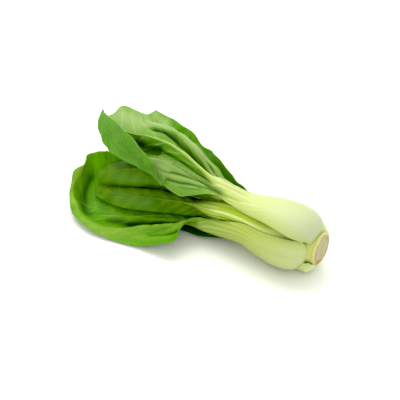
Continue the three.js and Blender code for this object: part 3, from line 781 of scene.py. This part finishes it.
@dataclass
class Leaf:
    """One leaf: a closed skin worked out from stations along its midrib.

    Stations are tables in the order given above. Their places are in the middle of the blade's
    sheet and just inside the stalk's hollow face, and facing is where the outer face looks.
    Lift and curl are degrees towards the inner face, and sweep is a share of the width
    towards the tip.

    Attributes:
        name: The piece's name, leaf_ and then the name that its solids end in.
        slot: Material slot of the record; not used.
        finish: Its tissue.
        facing: Where the outer face of its stalk base looks.
        base: Table of the stalk base.
        stations: Table of the stations past it.
        blade_start: Distance from the cut face at which the blade begins.
        rib_end: Distance at which the midrib fades out.
        veins: Side veins of the left and of the right half.
        creases: Table of the ridges, furrows, pale veins and patches of painted light and shade of
            this leaf alone.
        folds: Table of where the left half folds over.
        slim_rib: The midrib's half-width on the blade, as a share of the stations' one.
        row_mm: Spacing of the mesh along the leaf.
        column_mm: Spacing of the mesh across it.
        wave: How far the margin waves.
        seed: Picks its pattern of fine waves.
    """

    name: str
    slot: str
    finish: LeafFinish
    facing: float
    base: str
    stations: str
    blade_start: float
    rib_end: float
    veins: tuple[VeinFan, VeinFan]
    creases: str = ""
    folds: str = ""
    slim_rib: float = 0.4
    row_mm: float = 0.8
    column_mm: float = 0.65
    wave: float = 0.5
    seed: int = 1

    # Half the blade's thickness, which is thinner than the solid's, and the same at its margin
    HALF_THICK = 0.27
    MARGIN_HALF_THICK = 0.14
    # Sizes in millimetres: the margin's waves, bumps of the blade, threads of the stalk, the
    # stalk's rounded end, and how far before the blade its wings begin, right half and left
    WAVE_MM = 21.0
    BUMP_MM = 9.0
    THREAD_MM = 2.3
    END_MM = 2.6
    WINGS_MM = (30.0, 12.0)
    # Least height over the surface that the leaf lies on
    REST_MM = 0.3
    # Half-width of a vein as a share of the gap to the next, and the left half's first phase
    VEIN_SHARE = 0.075
    LEFT_PHASE = 40
    # Steps summed up for a cell, fewest cells of a half, and rows that the spacing is found from
    SUBSTEPS = 3
    FEWEST_COLUMNS = 8
    FINE_ROWS = 900

    def __post_init__(self) -> None:
        """Lays the stations out along the midrib."""
        along, radius, left, left_curl, right, right_curl, thick = numbers(self.base, 7).T
        facing, none = np.full_like(along, self.facing), np.zeros_like(along)
        place = outward(facing) * (radius - STALK_OFFSET - thick)[:, None]
        place += np.stack([-along, none, spline(*MIDDLE_LINE.T, along)], -1)
        base = np.column_stack([place, facing, left, none, left_curl, none, right, none,
                                right_curl, none, np.maximum(left, right), thick])
        self.table = np.vstack([base, numbers(self.stations, COLUMNS)])
        self.knots = walked(self.table[:, :3])

    def place(self, at: np.ndarray) -> np.ndarray:
        """Points of the midrib line at distances along it."""
        return spline(self.knots, self.table[:, :3], at)

    def rows(self) -> np.ndarray:
        """Places of the mesh's rows, as close as the line of the leaf that moves most needs."""
        fine = np.linspace(0, self.knots[-1], self.FINE_ROWS)
        lines = [self.place(fine), *(self.half(fine, side, 10)[0][:, -1] for side in Side)]
        moves = [np.linalg.norm(np.diff(line, axis=0), axis=1) for line in lines]
        walk = np.concatenate([[0], np.cumsum(np.max(moves, axis=0))])
        count = int(walk[-1] / self.row_mm) + 1
        return np.interp(np.linspace(0, walk[-1], count), walk, fine)

    def half(self, at: np.ndarray, side: Side, columns: int) -> tuple[np.ndarray, ...]:
        """Sums up one half of every section, from the midrib to the margin.

        Args:
            at: Distances along the midrib, shape (m,).
            side: Which half.
            columns: How many cells from the midrib to the margin.

        Returns:
            Points and outward normals, shape (m, columns + 1, 3), and half-widths, (m, 1).
        """
        near = 0.5
        tangent = unit(self.place(np.minimum(at + near, self.knots[-1]))
                       - self.place(np.maximum(at - near, 0)))
        values = spline(self.knots, self.table, at)
        normal = outward(values[:, FACING])
        normal = unit(normal - tangent * (normal * tangent).sum(1, keepdims=True))
        across = np.cross(normal, tangent) * side.value
        first = LEFT if side is Side.LEFT else RIGHT
        width, lift, curl, sweep = (values[:, first + k, None] for k in range(4))
        start, angle = np.ones_like(width), np.zeros_like(width)
        if self.folds and side is Side.LEFT:
            along, *bends = numbers(self.folds, 3).T
            start, angle = (spline(along, bend, -values[:, X])[:, None] for bend in bends)
        bend_share = np.minimum(FOLD_ARC / width, 0.4)

        def turned(share: np.ndarray) -> np.ndarray:
            """Direction of the section at shares of its width, in radians."""
            return np.radians(lift + curl * share
                              - angle * smoothstep((share - start) / bend_share, 0, 1))[..., None]

        fine = np.linspace(0, 1, columns * self.SUBSTEPS + 1)
        turn = turned((fine[1:] + fine[:-1]) / 2)
        moves = (width * fine[1])[..., None] * (
            across[:, None] * np.cos(turn) - normal[:, None] * np.sin(turn)
            + tangent[:, None] * sweep[..., None])
        sums = np.concatenate([np.zeros((len(at), 1, 3)), np.cumsum(moves, axis=1)], axis=1)
        points = self.place(at)[:, None] + sums[:, :: self.SUBSTEPS]
        turn = turned(fine[:: self.SUBSTEPS])
        return points, across[:, None] * np.sin(turn) + normal[:, None] * np.cos(turn), width

    def bend(self, along: np.ndarray, across: np.ndarray,
             edge: np.ndarray) -> tuple[np.ndarray, np.ndarray]:
        """Waves and creases the whole sheet.

        Args:
            along: Distances from the cut face.
            across: Distances from the midrib, above 0 on the left half.
            edge: How strongly the margin's waves act.

        Returns:
            How far each place moves outwards, and its tint: pale veins, painted sheen and painted
            light above 0, painted shade below 0.
        """
        noise = soft_noise(along / self.WAVE_MM, np.sign(across) + 3, self.seed)
        move = self.wave * edge * np.sin(2 * np.pi * (along / self.WAVE_MM + 0.35 * noise))
        # Pale veins, painted sheen and light, and painted shade, summed from the creases
        tint_and_painted_light = np.zeros_like(across)
        for crease in Crease.read(self.creases):
            strength = crease.strength(along, across)
            move += crease.height * strength
            tint_and_painted_light += crease.tint_and_painted_light * strength
        return move, np.clip(tint_and_painted_light, -1, 1)

    def skin(self) -> tuple[np.ndarray, dict[str, np.ndarray]]:
        """Works the whole skin out.

        Returns:
            Points of the outer and of the inner face, shape (2, m, n, 3), and what the finish
            reads there: leaf_place (along, across, vein phase), leaf_tone (pale share, face,
            width share) and leaf_form (tint with painted light and shade, show of the veins, share
            of the stalk's width).
        """
        at = self.rows()
        widest = self.table[:, [LEFT, RIGHT]].max(axis=0)
        left, right = (max(self.FEWEST_COLUMNS, int(w / self.column_mm)) for w in widest)
        left_points, left_out, left_width = self.half(at, Side.LEFT, left)
        right_points, right_out, right_width = self.half(at, Side.RIGHT, right)
        points = np.concatenate([right_points[:, :0:-1], left_points], axis=1)
        out = np.concatenate([right_out[:, :0:-1], left_out], axis=1)
        side = np.concatenate([-np.linspace(1, 0, right + 1)[:-1], np.linspace(0, 1, left + 1)])
        width = np.where(side < 0, right_width, left_width)
        across, share = width * side, np.broadcast_to(np.abs(side), width.shape)
        distance = np.abs(across)
        values = spline(self.knots, self.table, at)
        along = np.broadcast_to(-values[:, X, None], width.shape)
        stalk_rib, thick = values[:, RIB, None], values[:, THICK, None]
        past = along - self.blade_start
        is_blade, slim = smoothstep(past, -3, 9), smoothstep(past, -4, 20)
        gone = 1 - smoothstep(along - self.rib_end, -12, 4)
        rib_share = distance / np.minimum(stalk_rib * (1 + (self.slim_rib - 1) * slim), width)
        stalk_share = np.clip(distance / np.maximum(np.minimum(stalk_rib, width), 0.1), 0, 1)
        beside_rib = smoothstep(rib_share, 0.9, 1.6)
        pleat, ridge, show = (np.where(side < 0, *(getattr(fan, key) for fan in self.veins[::-1]))
                              for key in ("pleat", "ridge", "show"))
        phase = [fan.phase(along, distance) for fan in self.veins]
        phase = np.where(side < 0, phase[1], phase[0] + self.LEFT_PHASE)

        # The whole sheet moves: waves and creases, pleats between the veins, small bumps. The
        # plain numbers from here on are shares and soft limits.
        # The creases' tint is pale veins, painted sheen and light, and painted shade
        move, tint_and_painted_light = self.bend(along, across, is_blade * smoothstep(share, 0.5, 1.0))
        middle = smoothstep(share, 0.0, 0.3) * (1 - 0.75 * smoothstep(share, 0.55, 1.0))
        bumps = soft_noise(along / self.BUMP_MM + 7, across / self.BUMP_MM + 20, self.seed + 1)
        move += is_blade * beside_rib * (pleat * np.cos(2 * np.pi * phase) * middle + 0.3 * bumps)
        points = points + out * move[..., None]

        # Outer face: the stalk's round back, which runs on as the midrib, and the side veins
        end = 1 - np.clip(at / self.END_MM, 0, 1)[:, None]
        round_end, round_edge = np.sqrt(1 - end * end), np.sqrt(1 - stalk_share ** 10)
        edge = np.minimum(STALK_EDGE, thick * 0.6)
        stalk_back = STALK_OFFSET + (0.15 + 0.85 * round_end) * (
            edge + (thick - edge) * (1 - stalk_share ** 2)) * (0.35 + 0.65 * round_edge)
        half = self.HALF_THICK + (self.MARGIN_HALF_THICK - self.HALF_THICK) * (
            smoothstep(share, 0.9, 1.0))
        height = (STALK_OFFSET + thick - self.HALF_THICK) * gone * (1 - 0.45 * slim)
        vein = np.exp(-(((phase - np.round(phase)) / self.VEIN_SHARE) ** 2))
        vein = ridge * vein * (1 - 0.85 * share) * beside_rib
        rib_back = half + height * (1 - np.minimum(rib_share, 1) ** 2) ** 1.25 + vein * (
            1 + soft_noise(along / 6, across / 6, 5) / 4)
        outer = stalk_back + (rib_back - stalk_back) * is_blade
        threads = np.cos(2 * np.pi * across / self.THREAD_MM
                         + 1.5 * soft_noise(along / 30, across / 4 + 9, self.seed + 2))
        threads = threads * (1 - is_blade) * smoothstep(along, 14, 30)
        on_neck = smoothstep(along, 30, 75)
        outer += (0.03 + 0.17 * on_neck) * threads * (1 - smoothstep(stalk_share, 0.75, 1.0))
        # The neck is paler on its threads and greener in the furrows between them, partly painted shade
        tint_and_painted_light = np.clip(tint_and_painted_light + 0.4 * on_neck * threads, -1, 1)

        # Inner face: the stalk's hollow side, and a groove over each vein
        inner = STALK_OFFSET * (1 - is_blade) + (0.5 * vein - half) * is_blade
        outer = np.maximum(outer, inner + 0.2)
        points = np.stack([points + out * height[..., None] for height in (outer, inner)])
        low = np.minimum(points[..., 2] - self.REST_MM, 0)
        points[..., 2] = np.where(low < 0, self.REST_MM * np.exp(low / self.REST_MM),
                                  points[..., 2])

        # Colour: the stalk and rib are pale, and the first wings of the blade nearly so
        rib_pale = (1 - smoothstep(rib_share, 0.6, 1.25)) * (0.2 + 0.8 * gone)
        neck_pale = (1 - smoothstep(past, -4, 14)) * (1 - 0.7 * smoothstep(share, 0.25, 1.0))
        pale = np.maximum(rib_pale, neck_pale) * is_blade + (1 - is_blade)
        wing = smoothstep(past, -np.where(side < 0, *self.WINGS_MM), 0)
        pale = pale * (1 - 0.8 * smoothstep(stalk_share, 0.4, 1.0) * wing)
        face = np.array([Face.OUTER.value, Face.INNER.value])[:, None, None]
        # The veins show less where the tint paints shade
        show = show * (1 + 0.8 * np.minimum(tint_and_painted_light, 0))
        reads = {"leaf_place": (along, across, phase), "leaf_tone": (pale, face, share),
                 "leaf_form": (tint_and_painted_light, show, stalk_share)}
        return points, {name: np.stack([np.broadcast_to(v, points.shape[:3]) for v in three], -1)
                        for name, three in reads.items()}

    def build(self) -> bpy.types.Object:
        """Makes the leaf's closed mesh, dresses it and joins it to the frame.

        Returns:
            The leaf.
        """
        points, reads = self.skin()
        number = np.arange(points[0, ..., 0].size).reshape(points.shape[1:3])
        count = number.size
        a, b = number[:-1, :-1], number[:-1, 1:]
        c, d = number[1:, 1:], number[1:, :-1]
        front = np.stack([a, d, c, b], -1).reshape(-1, 4)
        back = np.stack([a, b, c, d], -1).reshape(-1, 4) + count
        rim = np.concatenate([number[0, :], number[1:, -1], number[-1, -2::-1],
                              number[-2:0:-1, 0]])
        after = np.roll(rim, -1)
        wall = np.stack([rim, after, after + count, rim + count], -1)
        node = self.name.removeprefix("leaf_")
        return closed_piece(self.name, (f"stalk_{node}", f"blade_{node}"),
                            self.finish.material(), points.reshape(-1, 3),
                            np.concatenate([front, back, wall]).tolist(), reads)


TOP_TISSUE = LeafFinish(
    "leaf tissue, waxed, top", bulb="adb692", stalk="bbc780", edge="9fb151", neck="b9c573",
    rib="98b45c", inner=("3c7307", "558c16"), outer=("497c06", "5b8a1d"), bloom_and_sheen="7e9853",
    painted_shade="254400", vein="9ab46c", lines=(0.12, 0.6))
# The front leaf's stalk colours are darker and yellower than the top leaf's: partly the stalk's own
# colour, partly painted shade for the underside of the head
FRONT_TISSUE = LeafFinish(
    "leaf tissue, waxed, front", bulb="b4bd87", stalk="a0ac51", edge="8b9f36", neck="899f46",
    rib="679019", inner=("407700", "559100"), outer=("4e7b0c", "689028"), bloom_and_sheen="759c2e",
    painted_shade="173500", vein="7aa63a", lines=(0.26, 0.6))
REAR_TISSUE = LeafFinish(
    "leaf tissue, waxed, rear", inner=("407b05", "53900d"), outer=("5b8b1b", "73a037"),
    bloom_and_sheen="9dbd6b", painted_shade="214700", vein="7b9e43", lines=(0.15, 0.6))
# The under leaf's greens are set darker than the other leaves': painted shade for where it lies under
# the head
UNDER_TISSUE_SHADED = LeafFinish(
    "leaf tissue, waxed, under", bulb="c6cd9a", stalk="acb95a", edge="90a536", neck="9eaf51",
    rib="5e8424", inner=("264900", "325908"), outer=("406a0c", "4e781a"), vein="4e741a",
    lines=(0.15, 0.6))
# Its near-black dark colour is the painted shade of the gaps between the inner leaves
INNER_TISSUE = LeafFinish(
    "leaf tissue, waxed, inner", bulb="c4d086", stalk="9db038", edge="8ba823", neck="96af3e",
    rib="60802a", inner=("325a06", "406a0e"), outer=("417106", "5b8211"), bloom_and_sheen="578028",
    painted_shade="091800", vein="5c8528", outer_gloss=0.4, lines=(0.25, 0.25))
HEART_TISSUE = LeafFinish(
    "leaf tissue, waxed, heart", bulb="c9ce97", stalk="b2c05f", edge="9ab236", neck="a8bd4e",
    rib="8ca843", inner=("5a821a", "71932f"), outer=("668c24", "7b9e40"), vein="90ac51")


def leaves() -> list[Leaf]:
    """All nine leaves, from the outer ones to the heart."""
    fall = (3.0, 2.6, 2.0, 1.5, 1.2, 1.0, 0.9, 0.8, 0.8)
    fan = VeinFan((80, 90, 101, 113, 126, 140, 155, 170, 185), fall)
    front_fan = VeinFan((84, 92, 102, 114, 128, 143, 158, 173, 187), fall, 0.22, 0.35)
    small = VeinFan((84, 92, 101, 111, 122, 134, 146, 158, 170),
                    (2.0, 1.7, 1.4, 1.2, 1.0, 0.9, 0.9, 0.8, 0.8), 0.15, 0.25)
    top_near = VeinFan((50, 59, 68, 77, 87, 99, 114, 131, 149, 166),
                       (6.6, 6.0, 5.3, 4.6, 3.8, 3.0, 2.2, 1.6, 1.2, 1.0), 0.2, 0.35, 0.75)
    top_far = VeinFan((50, 60, 70, 80, 92, 106, 122, 139, 156, 172),
                      (6.6, 6.0, 5.0, 4.2, 3.2, 2.4, 1.8, 1.4, 1.2, 1.0), 0.2, 0.3, 0.6)
    inner = partial(Leaf, slot="inner_blade", finish=INNER_TISSUE, veins=(small, small))
    heart = partial(inner, finish=HEART_TISSUE, blade_start=80, wave=0.2, column_mm=0.6)
    return [
        Leaf("leaf_top", "top_blade", TOP_TISSUE, -2, TOP_BASE, TOP_STATIONS, 82, 183,
             (top_near, top_far), TOP_CREASES, TOP_FOLDS, slim_rib=0.25, row_mm=0.75,
             column_mm=0.6, seed=11),
        Leaf("leaf_front", "outer_blade", FRONT_TISSUE, 98, FRONT_BASE, FRONT_STATIONS, 89, 184,
             (front_fan, front_fan), FRONT_CREASES, slim_rib=0.22, row_mm=0.75,
             column_mm=0.62, seed=23),
        Leaf("leaf_rear", "outer_blade", REAR_TISSUE, 271, REAR_BASE, REAR_STATIONS, 60, 174,
             (fan, fan), REAR_CREASES, seed=31),
        Leaf("leaf_under", "outer_blade", UNDER_TISSUE_SHADED, 183, UNDER_BASE, UNDER_STATIONS, 60, 148,
             (fan, fan), row_mm=1.0, column_mm=0.9, wave=0.3, seed=43),
        inner("leaf_inner_front", facing=0, base="", stations=INNER_FRONT_STATIONS,
              blade_start=90, rib_end=172, creases=INNER_FRONT_CREASES, slim_rib=0.2, wave=0.7,
              column_mm=0.5, seed=51),
        inner("leaf_inner_top", facing=-30, base=INNER_TOP_BASE, stations=INNER_TOP_STATIONS,
              blade_start=91, rib_end=172, creases=INNER_TOP_CREASES, slim_rib=0.18, wave=0.3,
              column_mm=0.5, seed=61),
        inner("leaf_inner_rear", facing=228, base=INNER_REAR_BASE, stations=INNER_REAR_STATIONS,
              blade_start=91, rib_end=154, wave=0.3, column_mm=0.6, seed=71),
        heart("leaf_heart_upper", facing=10, base=HEART_BASE, stations=HEART_UPPER_STATIONS,
              rib_end=128, seed=81),
        heart("leaf_heart_lower", facing=190, base=HEART_BASE, stations=HEART_LOWER_STATIONS,
              rib_end=117, seed=91),
    ]


# Cut stem end


@dataclass
class StemEnd:
    """The cut stem: a short cone between the stalk bases, with a collar round the cut face.

    Attributes:
        height: Height of its middle over the surface.
        sides: How many sides it has.
        ring_mm: Spacing of its rings.
        profile: Radius and distance from the cut face, from the face's middle inwards.
        finish: Its flesh.
    """

    height: float = 22.1
    sides: int = 144
    ring_mm: float = 0.35
    profile: str = ("0 0, 11 0, 11.6 0.5, 11.8 1.5, 11.6 3, 12.1 4.8, 13.2 7, 13.8 9, 11.4 13, "
                    "7 17, 3 21, 0.2 22")
    finish: CutStemFinish = CutStemFinish()

    # The cut face in millimetres: its radius, how deep it is dished and how rough, the spacing
    # of its bumps and the depth of its middle point
    FACE_MM = 11.0
    DISH_MM = 0.35
    ROUGH_MM = 0.12
    BUMP_MM = 1.6
    MIDDLE_MM = 0.3
    # What makes the stem uneven: share of its radius, waves round it, and where they begin
    WAVES = ((0.018, 3, 0.6), (0.012, 5, 2.0))

    def build(self) -> bpy.types.Object:
        """Turns the profile, roughens it and dresses it.

        Returns:
            The stem end.
        """
        corners = numbers(self.profile, 2)
        reach, tip = walked(corners), corners[-1, 1]
        rings = int(reach[-1] / self.ring_mm)
        walk = np.linspace(0, reach[-1], rings + 1)[1:]
        radius, depth = (np.interp(walk, reach, side)[:, None] for side in corners.T)
        turn = np.linspace(0, 2 * np.pi, self.sides, endpoint=False)[None]
        uneven = 1 + sum(part * np.sin(waves * turn + start) for part, waves, start in self.WAVES)
        bumps = soft_noise(radius * np.cos(turn) / self.BUMP_MM + 30,
                           radius * np.sin(turn) / self.BUMP_MM + 30, 3)
        dish = self.DISH_MM * (1 - (radius / self.FACE_MM) ** 2) + self.ROUGH_MM * bumps
        dish = np.maximum(dish * (1 - smoothstep(depth, 0.0, 1.0)), 0.0)
        y, z = radius * uneven * np.sin(turn), radius * uneven * np.cos(turn) + self.height
        points = np.stack([-(depth + dish), y, z], -1).reshape(-1, 3)
        centre = [(-self.MIDDLE_MM, 0, self.height), (-tip, 0, self.height)]
        number = np.arange(rings * self.sides).reshape(rings, self.sides)
        around = np.roll(number, -1, axis=1)
        quads = np.stack([number[:-1], number[1:], around[1:], around[:-1]], -1).reshape(-1, 4)
        first, last = number.size, number.size + 1
        fans = [(first, a, b) for a, b in zip(number[0].tolist(), around[0].tolist())]
        fans += [(last, b, a) for a, b in zip(number[-1].tolist(), around[-1].tolist())]
        place = np.stack(np.broadcast_arrays(radius, depth, turn), -1).reshape(-1, 3)
        return closed_piece("stem_end", ("butt",), self.finish.material(),
                            np.concatenate([points, centre]), quads.tolist() + fans,
                            {"cut_place": np.concatenate([place, [(0, 0, 0), (0, tip, 0)]])})


# Studio


@dataclass(frozen=True)
class Lamp:
    """One soft box: where it stands and its size, in metres, and its power in watts."""

    name: str
    place: tuple[float, float, float]
    size: float
    power: float


@dataclass
class Studio:
    """The plain pale floor, soft studio light and the camera at the photograph's angle.

    Attributes:
        azimuth: Direction that the camera looks from, in degrees.
        elevation: The same above the floor.
        lens: Its focal length, in millimetres.
        eye: Its place in the head's own frame.
        aim: Height that the lamps point at, in metres.
        floor_size: Side of the floor, in metres.
        sky: Strength of the light from all round.
        black: What the picture shows as black.
        lamps: The soft boxes.
    """

    azimuth: float = 34.0
    elevation: float = 36.0
    lens: float = 85.0
    eye: tuple[float, float, float] = (211.25, -461.94, 427.78)
    aim: float = 0.03
    floor_size: float = 8.0
    sky: float = 1.1
    black: float = 0.012
    lamps: tuple[Lamp, ...] = (
        Lamp("key", (-0.42, 0.36, 0.95), 1.0, 11.0),
        Lamp("fill", (0.55, -0.75, 0.7), 0.9, 3.0),
    )

    def build(self) -> None:
        """Makes the floor, the lights and the camera."""
        scene = bpy.context.scene
        half = self.floor_size / 2
        mesh = bpy.data.meshes.new("floor")
        mesh.from_pydata([(-half, -half, 0), (half, -half, 0), (half, half, 0),
                          (-half, half, 0)], [], [(0, 1, 2, 3)])
        mesh.materials.append(BoardFinish().material())
        floor = bpy.data.objects.new("floor", mesh)
        scene.collection.objects.link(floor)

        world = bpy.data.worlds.new("studio")
        scene.world = world
        world.use_nodes = True
        background = world.node_tree.nodes["Background"]
        background.inputs["Color"].default_value = (1, 1, 1, 1)
        background.inputs["Strength"].default_value = self.sky
        for lamp in self.lamps:
            data = bpy.data.lights.new(lamp.name, "AREA")
            data.energy = lamp.power
            data.size = lamp.size
            light = bpy.data.objects.new(lamp.name, data)
            light.location = lamp.place
            towards = Vector((0, 0, self.aim)) - light.location
            light.rotation_euler = towards.to_track_quat("-Z", "Y").to_euler()
            scene.collection.objects.link(light)

        turn, rise = math.radians(self.azimuth), math.radians(self.elevation)
        back = Vector((math.sin(turn) * math.cos(rise), -math.cos(turn) * math.cos(rise),
                       math.sin(rise)))
        right = Vector((math.cos(turn), math.sin(turn), 0))
        data = bpy.data.cameras.new("camera")
        data.lens = self.lens
        data.sensor_width = 36.0
        data.clip_start = 0.01
        camera = bpy.data.objects.new("camera", data)
        place = Vector((np.array(self.eye) + ORIGIN) * MM)
        looks = Matrix((right, back.cross(right), back)).transposed().to_4x4()
        camera.matrix_world = Matrix.Translation(place) @ looks
        scene.collection.objects.link(camera)
        scene.camera = camera
        view = scene.view_settings
        view.view_transform = "Standard"
        view.use_curve_mapping = True
        view.curve_mapping.black_level = (self.black,) * 3


def main() -> None:
    """Builds the stem end, the leaves and the studio."""
    logging.basicConfig(level=logging.INFO, format="%(message)s")
    StemEnd().build()
    for leaf in leaves():
        leaf.build()
    Studio().build()


if __name__ == "__main__":
    main()
